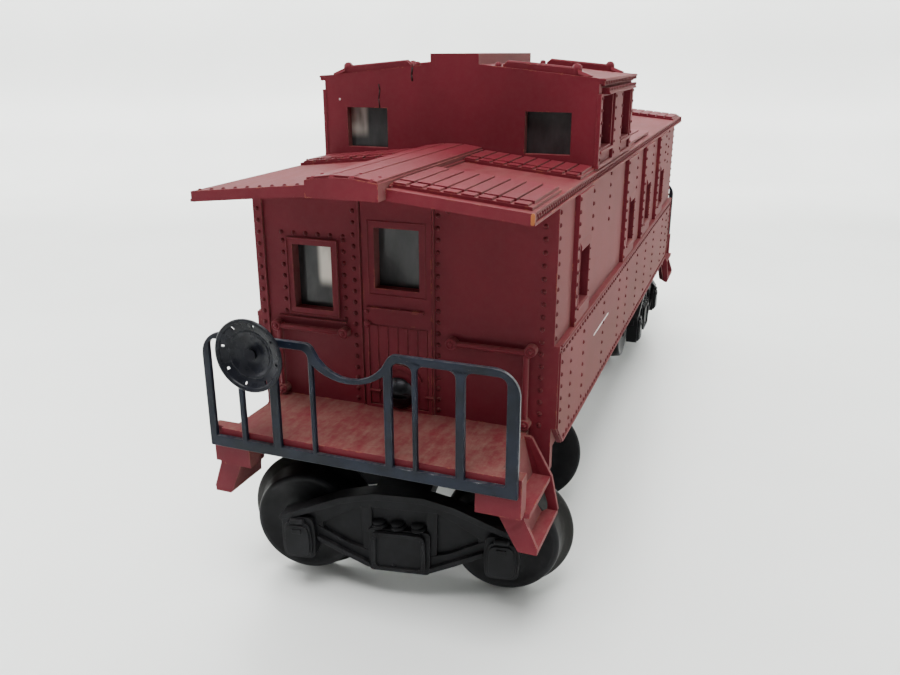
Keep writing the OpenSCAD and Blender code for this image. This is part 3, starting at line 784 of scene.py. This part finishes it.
def side_rivets(side, turn):
    """Rivet rows and columns of one long side."""
    b = Build(turn)
    rng = random.Random(5)
    plate = -PLATE

    def column(x, y, top, foot):
        for z in steps_between(top, foot, PITCH):
            b.rivet((x + wobble(rng), y, z + wobble(rng)), OUT_SIDE)

    def row(reach, z, radius=RIVET, height=RIVET_HIGH):
        for x in steps_between(-reach, reach, 2.0):
            b.rivet((x, plate, z + wobble(rng)), OUT_SIDE, radius, height)

    # columns on the wall, then on the raised plate above and below the belt
    for x in (-72.4, 72.4):
        column(x, -SIDE, 35.0, 15.6)
    for x in (-32.0, 61.0):
        column(x, -SIDE, 35.5, 26.8)
    for x in (-62.3, -15.0, 10.6, 36.3):
        column(x, plate, 35.4, 15.6)
    for x in (-52.1, -3.6, 22.0, 47.7):
        column(x, plate, 35.2, 28.8)
    for x in (-70.8, -64.2, -54.4, -35.8, -18.2, -8.3, 6.5, 20.7, 35.2, 54.0, 63.8, 70.8):
        column(x, plate, 11.2, -1.0)
    # small rivets beyond each window, and the close row of dots under the eave
    for x in SIDE_WINDOWS:
        for z in steps_between(25.6, 18.2, 1.9):
            b.lathe(WINDOW_DOT, (x + WINDOW_WIDE + 0.75, plate, z), OUT_SIDE, 6)
    for x in steps_between(-HALF_ROOF + 1.6, HALF_ROOF - 1.6, 1.25):
        b.lathe(EAVE_BEAD, (x, -SIDE, 36.85), OUT_SIDE, 8)
    # rows under the belt and along the foot of the plate
    row(72.0, 13.05)
    row(67.5, -2.75, RIVET * 0.9, 0.26)
    b.done(f"side_rivets_{side}", RED_RIVET)


def side_trim(side, turn):
    """Window ledges, belt and eave mouldings of one long side."""
    b = Build(turn)
    plate = -PLATE
    root = plate + 0.1  # where the raised parts end, inside the plate
    for x in SIDE_WINDOWS:
        b.box((x - 0.3, plate - 0.25, 16.9), (x + WINDOW_WIDE + 0.3, root, 17.3))
        hood = [(root, 26.8), (plate - 0.3, 26.85), (plate - 0.3, 27.5), (root, 28.5)]
        b.prism(hood, "x", x - 0.2, x + WINDOW_WIDE + 0.2)
        frame_ring(b, "y", plate - 0.1, (x - 0.02, 17.45), (x + WINDOW_WIDE + 0.02, 26.72), 0.25, 0.2)
    # two ridges of the belt
    for z in (13.7, 14.25):
        b.box((-HALF_LEN + 0.9, plate - 0.32, z), (HALF_LEN - 0.9, root, z + 0.3))
    # rim along the lower plate, whose two lower corners are cut off
    belt, reach, cut = 13.4, HALF_LEN - 0.3, 4.3
    rim = [(reach, belt), (reach, -3.6 + cut), (reach - cut, -3.55)]
    inner = [(reach - 0.5, belt), (reach - 0.5, -3.4 + cut), (reach - cut - 0.2, -3.1)]
    rim, inner = [[(-x, z) for x, z in half] + half[::-1] for half in (rim, inner)]
    for i in range(len(rim) - 1):
        b.prism([rim[i], rim[i + 1], inner[i + 1], inner[i]], "y", plate - 0.28, root)
    # eave: upper ridge, closed at both ends
    wall = -SIDE
    b.box((-HALF_ROOF + 0.5, wall - 0.14, 37.45), (HALF_ROOF - 0.5, wall + 0.3, 37.68))
    for x0, x1 in ((-HALF_ROOF, -HALF_ROOF + 1.0), (HALF_ROOF - 1.0, HALF_ROOF)):
        plan = [(x0, wall + 0.3), (x0, wall - 0.4), (x1, wall - 0.4), (x1, wall + 0.3)]
        b.prism(rounded(plan, 0.42), "z", 36.15, 37.66)
    b.done(f"side_trim_{side}", RED_TRIM, 0.07)


def slope_box(b, x0, x1, y0, y1, lift, thick):
    """A board on the -Y slope of the roof, between two distances from the middle."""
    low = [(-y0, roof_z(y0) + lift), (-y1, roof_z(y1) + lift)]
    high = [(y, z + thick) for y, z in reversed(low)]
    b.prism(low + high, "x", x0, x1)


def board_row(b, x0, x1, rng):
    """Boards of a cross walk, with a row of short offset blocks along its outer end x0."""
    low, high = 5.75, 25.45
    count = 8
    pitch = (high - low) / count
    half_gap, half_block, margin, block_len = 0.2, 0.95, 0.15, 2.0
    for i in range(count):
        y0 = low + pitch * i + half_gap
        y1 = low + pitch * (i + 1) - half_gap
        start = x0 + block_len + 2 * margin + wobble(rng, 0.15)
        slope_box(b, start, x1 - margin + wobble(rng, 0.15), y0, y1, 0.4, 0.5)
    at = x0 + margin
    for i in range(count):
        middle_y = low + pitch * (i + 0.42)
        y0, y1 = max(middle_y - half_block, low), min(middle_y + half_block, high)
        slope_box(b, at, at + block_len, y0, y1, 0.3, 0.45)


def roof_boards(end, turn):
    """Running boards and cross walks over one half of the roof."""
    b = Build(turn)
    rng = random.Random(11)
    board_row(b, -87.2, -71.0, rng)
    inner = CUP_X[0] if end == "near" else -CUP_X[1]
    short_walk = 10.8
    for flip in (HERE, LEFT):
        b.turn = turn @ flip
        board_row(b, -abs(inner) - short_walk, inner, rng)
        # gutters where the boards meet the middle walk
        slope_box(b, -87.9, inner, 5.55, 5.9, 0.0, 0.35)
    b.turn = turn
    # three long boards over the middle; the middle one starts a little further in
    tip = -HALF_ROOF - 2.15
    foot, top = 40.9, 41.5
    slanted = [(1.95, foot), (5.3, foot - 0.5), (5.3, top - 0.45), (1.95, top)]
    flat = [(-1.6, foot), (1.6, foot), (1.6, top + 0.02), (-1.6, top + 0.02)]
    b.prism(slanted, "x", tip, inner)
    b.prism(flat, "x", tip + 0.2, inner)
    b.prism([(-y, z) for y, z in slanted], "x", tip, inner)
    # bolt heads along the outer end of the middle walk
    for y in (-4.4, -1.5, 1.5, 4.4):
        crown = top - 0.1 * abs(y)
        b.rivet((tip + 2.9, y, crown), UP, 0.42, 0.3)
        b.rivet((tip + 0.25, y, crown - 0.25), (-0.7, 0, 0.7), 0.62, 0.4)
    b.done(f"roof_boards_{end}", RED_BOARD, 0.12)


def roof_rivets(end, turn):
    """Rivet row along the bare half of the roof's end, and a raised row where the near half has its
    short cross walk."""
    b = Build(turn)
    for y in steps_between(25.1, 6.4, 2.0):
        b.rivet((-HALF_ROOF + 0.75, y, roof_z(y)), UP, 0.36, 0.26)
    for y in steps_between(7.2, 24.6, 3.1):
        b.rivet((-57.2, y, roof_z(y) + 0.85), UP, 0.3, 0.2)
    b.done(f"roof_rivets_{end}", RED_RIVET)


def cupola_trim():
    """Corner strips, window beads, sills and mouldings of the cupola."""
    b = Build()
    x0, x1 = CUP_X
    side = -CUP_SIDE
    sill, head, window = 41.3, 50.0, 9.6
    for flip in (HERE, LEFT):
        b.turn = flip
        for a, c in ((x0 - 0.15, x0 + 1.5), (x1 - 1.5, x1 + 0.15)):
            b.box((a, side - 0.5, 38.4), (c, side + 0.2, head + 0.5))
        for x in (-45.0, -25.0):
            frame_ring(b, "y", side - 0.3, (x, sill), (x + window, head), 0.45, 0.4)
            b.box((x - 0.8, side - 0.7, sill - 0.8), (x + window + 0.8, side + 0.1, sill - 0.3))
        b.box((x0 - 0.1, side - 0.6, 38.1), (x1 + 0.1, side + 0.2, 38.7))
        # ridges of the eave moulding
        for z, reach, back in ((52.75, 1.1, -0.1), (51.9, 0.6, 1.6), (50.55, 1.45, 2.7)):
            b.box((x0 + back, side - reach, z - 0.16), (x1 - back, side + 0.1, z + 0.16))
    b.done("cupola_trim", RED_TRIM, 0.08)


def cupola_rivets():
    """Rivet columns and rows on both long sides of the cupola."""
    b = Build()
    x0, x1 = CUP_X
    rng = random.Random(9)
    for flip in (HERE, LEFT):
        b.turn = flip
        for x in (x0 + 0.7, x1 - 0.7):
            for z in steps_between(39.6, 49.8, PITCH):
                b.rivet((x, -CUP_SIDE - 0.5, z), OUT_SIDE, 0.34, 0.26)
        for x in (-33.5, -26.9):
            for z in steps_between(39.6, 49.6, PITCH):
                b.rivet((x + wobble(rng), -CUP_SIDE - 0.6, z), OUT_SIDE, 0.34, 0.26)
        # rows on the eave moulding: distance from the end walls, reach, height and how far each stands out
        for back, reach, z, height in ((0.8, 0.9, 52.3, 0.2), (3.4, 1.3, 51.2, 0.22)):
            for x in steps_between(x0 + back, x1 - back, 1.6):
                b.rivet((x, -CUP_SIDE - reach, z), OUT_SIDE, 0.32, height)
    b.done("cupola_rivets", RED_RIVET)


def cupola_bars():
    """Rounded grab bars over the moulded ones of the cupola roof, with a post and a foot at their ends."""
    b = Build()
    x0, x1 = CUP_X
    low, high = -21.9, -8.9  # how far out the two ends of a bar stand
    z_low, z_high = CUP_EAVE + 1.25, CUP_EAVE + 2.35
    drop, bend = 1.2, 0.4
    for x in (x0 + 1.6, x1 - 1.6):
        for flip in (HERE, LEFT):
            b.turn = flip
            path = [
                (x, low - 0.1, z_low - drop),
                (x, low, z_low - bend),
                (x, low + 0.5, z_low),
                (x, high - 0.5, z_high),
                (x, high, z_high - bend),
                (x, high + 0.1, z_high - drop),
            ]
            b.tube(path, 0.5)
            # rounded post at the low end, small foot at the high end, and a wedge below the post
            b.lathe(BAR_POST, (x, low + 0.4, CUP_EAVE + 0.35), UP, 16)
            b.lathe(BAR_FOOT, (x, high + 1.3, CUP_EAVE + 1.75), UP, 14)
            start, floor = low - 2.3, CUP_EAVE + 0.1
            wedge = [(start, floor), (low, floor), (low, floor + 1.2), (start, floor + 0.3)]
            b.prism(wedge, "x", x - 1.0, x + 0.7)
    b.turn = HERE
    # edges of the block along the cupola roof
    for y0, y1 in ((-4.45, -4.0), (4.0, 4.45)):
        b.box((x0 + 0.2, y0, 56.6), (x1 - 0.2, y1, 56.88))
    b.done("cupola_bars", RED_BOARD)


def crack(b, points, width):
    """A hairline crack in the front of the cupola, as a thin dark line standing just proud of it."""
    for (y0, z0), (y1, z1) in zip(points, points[1:]):
        ring = [(y0 - width, z0), (y0 + width, z0), (y1 + width, z1), (y1 - width, z1)]
        b.prism(ring, "x", CUP_X[0] - 0.05, CUP_X[0] + 0.1)


def marks():
    """Hairline cracks, chipped roof corners, a fleck of paint and the plain stripe on the sides."""
    b = Build()
    crack(b, [(14.6, 47.4), (14.75, 49.0), (14.5, 50.6), (14.7, 51.6)], 0.11)
    crack(b, [(8.0, 52.2), (8.15, 53.2), (7.95, 54.6)], 0.16)
    b.done("cupola_cracks", CRACK)
    # the chip wraps the corner of the eave block, and tapers towards its two ends
    b = Build()
    x, y = -HALF_ROOF, -SIDE - 0.43
    taper, heart_x, heart_y = 0.7, x + 0.2, y + 0.4
    chip = rounded([(x - 0.06, y + 0.6), (x - 0.06, y), (x + 0.3, y), (x + 0.3, y + 0.6)], 0.25)
    tip = [(heart_x + (px - heart_x) * taper, heart_y + (py - heart_y) * taper) for px, py in chip]
    levels = ((tip, 36.1), (chip, 36.35), (chip, 37.45), (tip, 37.72))
    b.loft([[(px, py, z) for px, py in ring] for ring, z in levels])
    b.turn = FAR_END
    b.prism(tip, "z", 37.2, 37.78)
    b.done("chipped_corner", CHIP, 0.1)
    b = Build()
    b.rivet((CUP_X[0], 22.75, 48.8), OUT_END, 0.22, 0.08)
    b.done("paint_fleck", STRIPE)
    for side, flip in (("right", HERE), ("left", LEFT)):
        b = Build(flip)
        b.box((-44.8, -PLATE - 0.05, 7.25), (-30.2, -PLATE + 0.1, 7.6))
        b.done(f"side_stripe_{side}", STRIPE)


for end, turn in (("near", HERE), ("far", FAR_END)):
    end_rivets(end, turn)
    end_fittings(end, turn)
    step_edges(end, turn)
for end, turn in (("near", HERE), ("far", BACKWARD)):
    roof_boards(end, turn)
    roof_rivets(end, turn)
for side, turn in (("right", HERE), ("left", LEFT)):
    side_rivets(side, turn)
    side_trim(side, turn)
cupola_trim()
cupola_rivets()
cupola_bars()
marks()

# ---- trucks: side frames and wheels ----

TRUCK = {
    "near": Matrix.Translation((-KING, 0, AXLE_Z - DECK)) @ Matrix.Rotation(NEAR_TURN, 4, "Z"),
    "far": Matrix.Translation((KING, 0, AXLE_Z - DECK)),
}


def sign_in_truck(end, node, axis):
    """Which side of its truck a node lies on, along the truck's own X (0) or Y (1)."""
    at = middle(node)
    local = TRUCK[end].inverted() @ Vector((at.x - CAR_X, at.y, at.z - DECK))
    return 1 if local[axis] > 0 else -1


def both_sides(half, centre=0.0):
    """A closed outline from its +X half, mirrored about centre."""
    return [(centre + x, z) for x, z in half] + [(centre - x, z) for x, z in reversed(half)]


def side_frame(end, letter):
    """Cast side frame of a truck: arch, tie bar, bolster box with springs, and two journal boxes."""
    node = f"{end}_side_{letter}"
    side = sign_in_truck(end, node, 1)
    b = Build(TRUCK[end] @ Matrix.Scale(side, 4, Vector((0, 1, 0))))
    back, web = 20.65, 22.6  # the casting's inner face, and the outer face of its bars
    crown = [(4.2, 9.25), (9.4, 8), (17.4, 4.6)]
    arch = both_sides(crown + [(20.4, 3.5), (20.3, 1.2), (14.2, 1.6), (9.4, 4.6), (6.4, 6.1)])
    b.prism(rounded(arch, 0.8), "y", back, web)
    panel = both_sides([(9.4, 7.4), (15, 4.4), (15, -0.9), (9, -3.4), (5, -5.4)])
    b.prism(rounded(panel, 0.6), "y", back, web - 0.75)
    # raised rib along the top of the arch
    rib = both_sides(crown + [(20.3, 3.5), (20.2, 2.7), (17.1, 3.6), (9.1, 6.9), (4.1, 8.1)])
    b.prism(rounded(rib, 0.5), "y", web - 0.2, web + 1.05)
    # bars of each half, with their corner radius, back and front
    strut = [(14.9, 2.2), (14.7, -0.9), (9, -3.45), (4.8, -5.4), (4.8, -2.2), (8.4, -1.2), (12.6, 1.0)]
    strut_rib = [(14, 0.1), (13.9, -0.8), (9, -3.2), (5, -5), (5, -4.1), (9, -2.3)]
    post = [(4.6, 6.6), (6.4, 6.4), (6.2, -3.6), (4.6, -4.4)]
    end_post = [(12.9, 5.2), (15, 4.2), (14.6, -0.9), (13.1, -1.5)]
    bars = (
        (strut, 0.6, back, web - 0.1),
        (strut_rib, 0.3, web - 0.3, web + 0.6),
        (post, 0.4, back, web - 0.2),
        (end_post, 0.4, back, web - 0.25),
    )
    for t in (-1, 1):
        for outline, corner, low, high in bars:
            b.prism(rounded([(t * x, z) for x, z in outline], corner), "y", low, high)
        # journal box: body, lid with its lip, hinge barrel and latch
        axle = t * HALF_BASE
        box = both_sides([(2.6, 3.5), (2.9, 0), (2.7, -4.15)], axle)
        b.prism(rounded(box, 1.2), "y", back, web + 1.0)
        lid = both_sides([(2.1, 2.7), (2.45, -0.4), (2.3, -3.7)], axle)
        lip = [(axle + (x - axle) * 0.86, z * 0.86 - 0.1) for x, z in lid]
        for outline, corner, low, high in ((lid, 1.1, 0.9, 1.5), (lip, 1.0, 1.4, 1.8)):
            b.prism(rounded(outline, corner), "y", web + low, web + high)
        b.rod((axle - 1.3, web + 1.3, 2.9), (axle + 1.3, web + 1.3, 2.9), 0.5)
        b.box((axle - 0.8, web + 1.7, 0.9), (axle + 0.8, web + 2.0, 1.7))
    # bolster box with its face
    b.prism(rounded(both_sides([(5.2, 2.5), (5.2, -5.5)]), 0.9), "y", back, web + 0.3)
    face = both_sides([(4.4, 2.1), (4.6, -4.9)])
    outer = rounded(face, 1.2)
    inner = rounded([(x * 0.84, (z + 1.4) * 0.84 - 1.4) for x, z in face], 1.0)
    b.prism(outer, "y", web + 0.2, web + 0.6)
    # raised frame around that face, and a rivet at its foot
    for i, (u, v) in enumerate(zip(outer, inner)):
        j = (i + 1) % len(outer)
        b.prism([u, outer[j], inner[j], v], "y", web + 0.5, web + 1.0)
    b.rivet((0.9, web + 0.6, -3.9), (0, 1, 0), 0.35, 0.3)
    # low worn coils of the springs on top of the box
    for x in (-3.2, 0.2, 3.3):
        for k, wide in enumerate((1.35, 1.2)):
            coil = [(0, 0.34), (wide - 0.4, 0.3), (wide - 0.1, 0.14), (wide, 0)]
            coil += [(wide - 0.2, -0.3), (0, -0.34)]
            b.lathe(coil, (x + 0.2 * k, web - 0.5 - 0.1 * k, 2.8 + k * 0.6), (0.14, 0.1, 1), 20)
    piece = b.done(f"{end}_side_frame_{letter}", BLACK, 0.16, f"{end}_truck")
    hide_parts(node)


# profile of a wheel, as distance from its axle and from the middle of the track
AXLE_R = 1.25
WHEEL_BACK = [(AXLE_R, 13.4), (3.5, 13.4), (3.8, 13.7), (3.9, 14.3), (7.0, 14.6), (8.2, 13.95)]
WHEEL_BACK += [(10.5, 13.9), (10.85, 14.05), (11.0, 14.35)]
RUNNING_FACE = [(11.0, 14.7), (10.85, 15.0), (10.4, 15.3), (9.8, 15.6), (9.45, 16.0), (8.95, 18.8)]
WHEEL_DISH = [(8.8, 19.15), (8.5, 19.38), (8.1, 19.4), (7.7, 19.3), (7.2, 19.05), (6.4, 18.75)]
WHEEL_DISH += [(5.2, 18.45), (4.4, 18.4)]
WHEEL_HUB = [(3.9, 18.5), (3.55, 18.8), (3.3, 19.7), (3.05, 19.9), (AXLE_R, 19.9)]
WHEEL_SHAPE = WHEEL_BACK + RUNNING_FACE + WHEEL_DISH + WHEEL_HUB
# the bands of the running face, which are worn grey
TREAD_BANDS = range(len(WHEEL_BACK), len(WHEEL_BACK + RUNNING_FACE) - 1)


def wheel(end, k, letter):
    """Flanged wheel with a dished face and a hub."""
    node = f"{end}_wheel_{k}{letter}"
    along = sign_in_truck(end, node, 0)
    side = sign_in_truck(end, node, 1)
    b = Build(TRUCK[end])
    scale = WHEEL_R / max(radius for radius, across in WHEEL_SHAPE)
    shape = [(radius * scale, across) for radius, across in WHEEL_SHAPE]
    b.lathe(shape, (along * HALF_BASE, 0, 0), (0, side, 0), 96, TREAD_BANDS)
    piece = b.done(f"{end}_wheel_face_{k}{letter}", WHEEL, 0, f"{end}_wheelset_{k}", TREAD)
    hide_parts(node)


for end in ("near", "far"):
    for letter in ("a", "b"):
        side_frame(end, letter)
        for k in (1, 2):
            wheel(end, k, letter)

# ---- brake wheels ----

SECTOR_STEPS = 10
WHEEL_HOLES = 8


def sector(b, r0, r1, a0, a1, back, front):
    """A slice of a dished disc between two radii and two angles; back and front give its two faces
    at a radius."""
    ring = [(back(r0), r0), (back(r1), r1), (front(r1), r1), (front(r0), r0)]
    turns = [math.radians(a0 + (a1 - a0) * i / SECTOR_STEPS) for i in range(SECTOR_STEPS + 1)]
    b.loft([[(depth, r * math.cos(a), r * math.sin(a)) for depth, r in ring] for a in turns])


def brake_wheel(end):
    """Smooth concave brake wheel: rim, ridge, small openings just inside the rim, sunk hub."""
    node = f"brake_wheel_{end}"
    low, high = extent(node)
    centre = (low + high) / 2
    radius = (high.y - low.y) / 2
    depth = (high.x - low.x) / 2
    at = Matrix.Translation((centre.x - CAR_X, centre.y, centre.z - DECK))
    b = Build(at @ BACKWARD if end == "near" else at)
    rim_in = radius - 0.8
    holes = rim_in - 0.55
    wall = 0.42

    def front(r):
        return 1.35 * (r / rim_in) ** 1.6 - 0.45

    def back(r):
        return front(r) - wall

    hub = (0, 0, 0)
    out = (1, 0, 0)
    fine = 96
    rim = [(rim_in, front(rim_in)), (rim_in + 0.12, depth - 0.12), (rim_in + 0.35, depth)]
    rim += [(radius - 0.15, depth - 0.03), (radius, depth - 0.2), (radius - 0.05, depth - 0.4)]
    rim += [(radius - 0.3, depth - 0.5), (rim_in, back(rim_in))]
    b.lathe(rim, hub, out, fine)
    # the dish from its sunk middle over the low ridge to the openings, and back along its rear face
    ridge = 0.14
    dish = [(0, -0.1), (0.9, -0.14), (1.15, -0.25)]
    dish += [(r, front(r)) for r in (1.35, 1.8, 2.3, 2.8, 3.2)]
    dish += [(3.4, front(3.4) + ridge), (3.62, front(3.6) + ridge)]
    dish += [(r, front(r)) for r in (3.8, holes)]
    dish += [(r, back(r)) for r in (holes, 3.4, 2.8, 2.0, 1.6)]
    dish += [(1.5, back(1.5) - 0.3), (0, back(1.5) - 0.3)]
    b.lathe(dish, hub, out, fine)
    # bars between the openings
    pitch, half_bar, first = 360 / WHEEL_HOLES, 20.2, 12
    for i in range(WHEEL_HOLES):
        a = first + pitch * (i + 0.5)
        sector(b, holes - 0.1, rim_in + 0.1, a - half_bar, a + half_bar, back, front)
    piece = b.done(f"{end}_brake_wheel_dish", GLOSS_BLACK, 0.06, f"{end}_brake_wheel")
    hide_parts(node)


for end in ("near", "far"):
    brake_wheel(end)
